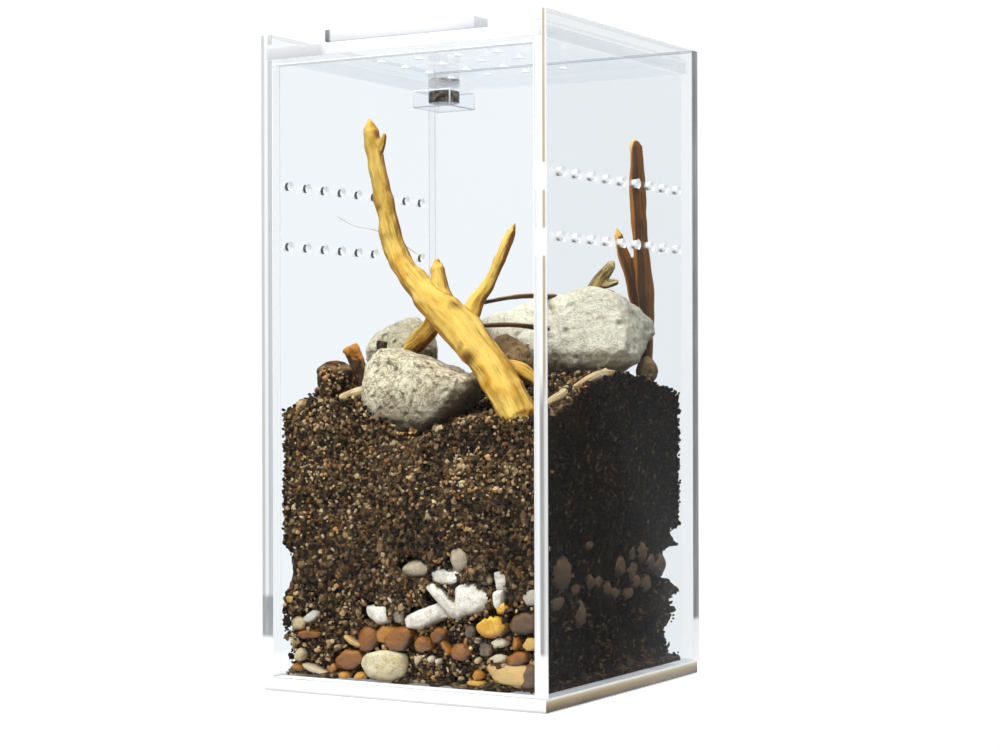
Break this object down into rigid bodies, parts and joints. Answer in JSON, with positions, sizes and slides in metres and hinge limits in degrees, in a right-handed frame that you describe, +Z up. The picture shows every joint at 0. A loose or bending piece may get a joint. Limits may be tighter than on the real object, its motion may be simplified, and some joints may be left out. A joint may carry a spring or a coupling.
{
  "type": "acrylic terrarium",
  "caption": "Tall clear acrylic terrarium with a sliding vented lid held by magnets, planted out with soil, drainage pebbles, rocks and driftwood.",
  "frame": {"origin": "on the surface that the case stands on, under the middle of the case", "axes": "+X along the front wall towards its right end, +Y from the front wall to the back wall, +Z up"},
  "size_m": [0.0762, 0.0762, 0.1524],
  "materials": {
    "acrylic": "clear, polished",
    "nickel": "nickel plated, polished",
    "soil": "loose, matt",
    "soil_lump": "loose, matt",
    "grey_rock": "rough",
    "brown_rock": "rough",
    "pale_rock": "rough",
    "driftwood": "bare, weathered",
    "dark_wood": "bare, weathered",
    "bark": "rough",
    "cream_stone": "water-worn",
    "amber_stone": "water-worn",
    "yellow_stone": "water-worn",
    "brown_stone": "water-worn",
    "white_stone": "water-worn",
    "beige_stone": "water-worn",
    "dull_stone": "water-worn"
  },
  "bodies": {
    "case": {"base_plate": "acrylic", "left_wall": "acrylic", "right_wall": "acrylic", "back_wall": "acrylic", "front_wall": "acrylic", "magnet_block": "acrylic", "block_magnet": "nickel", "soil_bed": "soil", "soil_clump": "soil_lump", "front_rock": "grey_rock", "small_rock": "grey_rock", "brown_rock": "brown_rock", "middle_rock": "pale_rock", "pale_rock": "pale_rock", "driftwood_branch": "driftwood", "pale_stick": "driftwood", "wood_chip_1": "driftwood", "wood_chip_2": "driftwood", "wood_strip": "driftwood", "dark_twig": "dark_wood", "gnarled_root": "dark_wood", "thin_twig_1": "dark_wood", "thin_twig_2": "dark_wood", "bark_piece_1": "bark", "bark_piece_2": "bark", "cream_stone": "cream_stone", "amber_pebble_1": "amber_stone", "amber_pebble_2": "amber_stone", "amber_pebble_3": "amber_stone", "amber_pebble_4": "amber_stone", "amber_pebble_5": "amber_stone", "amber_pebble_6": "amber_stone", "amber_pebble_7": "amber_stone", "amber_pebble_8": "amber_stone", "yellow_pebble_1": "yellow_stone", "yellow_pebble_2": "yellow_stone", "brown_pebble_1": "brown_stone", "brown_pebble_2": "brown_stone", "white_stone_1": "white_stone", "white_stone_2": "white_stone", "white_stone_3": "white_stone", "white_stone_4": "white_stone", "white_stone_5": "white_stone", "white_stone_6": "white_stone", "white_stone_7": "white_stone", "white_stone_8": "white_stone", "beige_stone_1": "beige_stone", "beige_stone_2": "beige_stone", "dull_stone_1": "dull_stone", "dull_stone_2": "dull_stone", "dull_stone_3": "dull_stone", "dull_stone_4": "dull_stone", "dull_stone_5": "dull_stone", "dull_stone_6": "dull_stone", "dull_stone_7": "dull_stone", "dull_stone_8": "dull_stone"},
    "lid": {"lid_plate": "acrylic", "lid_handle": "acrylic", "lid_magnet": "nickel"}
  },
  "joints": [
    {"name": "lid_slide", "type": "slide", "parent": "case", "child": "lid", "axis": [0, -1, 0], "range_m": [0, 0.07]}
  ]
}
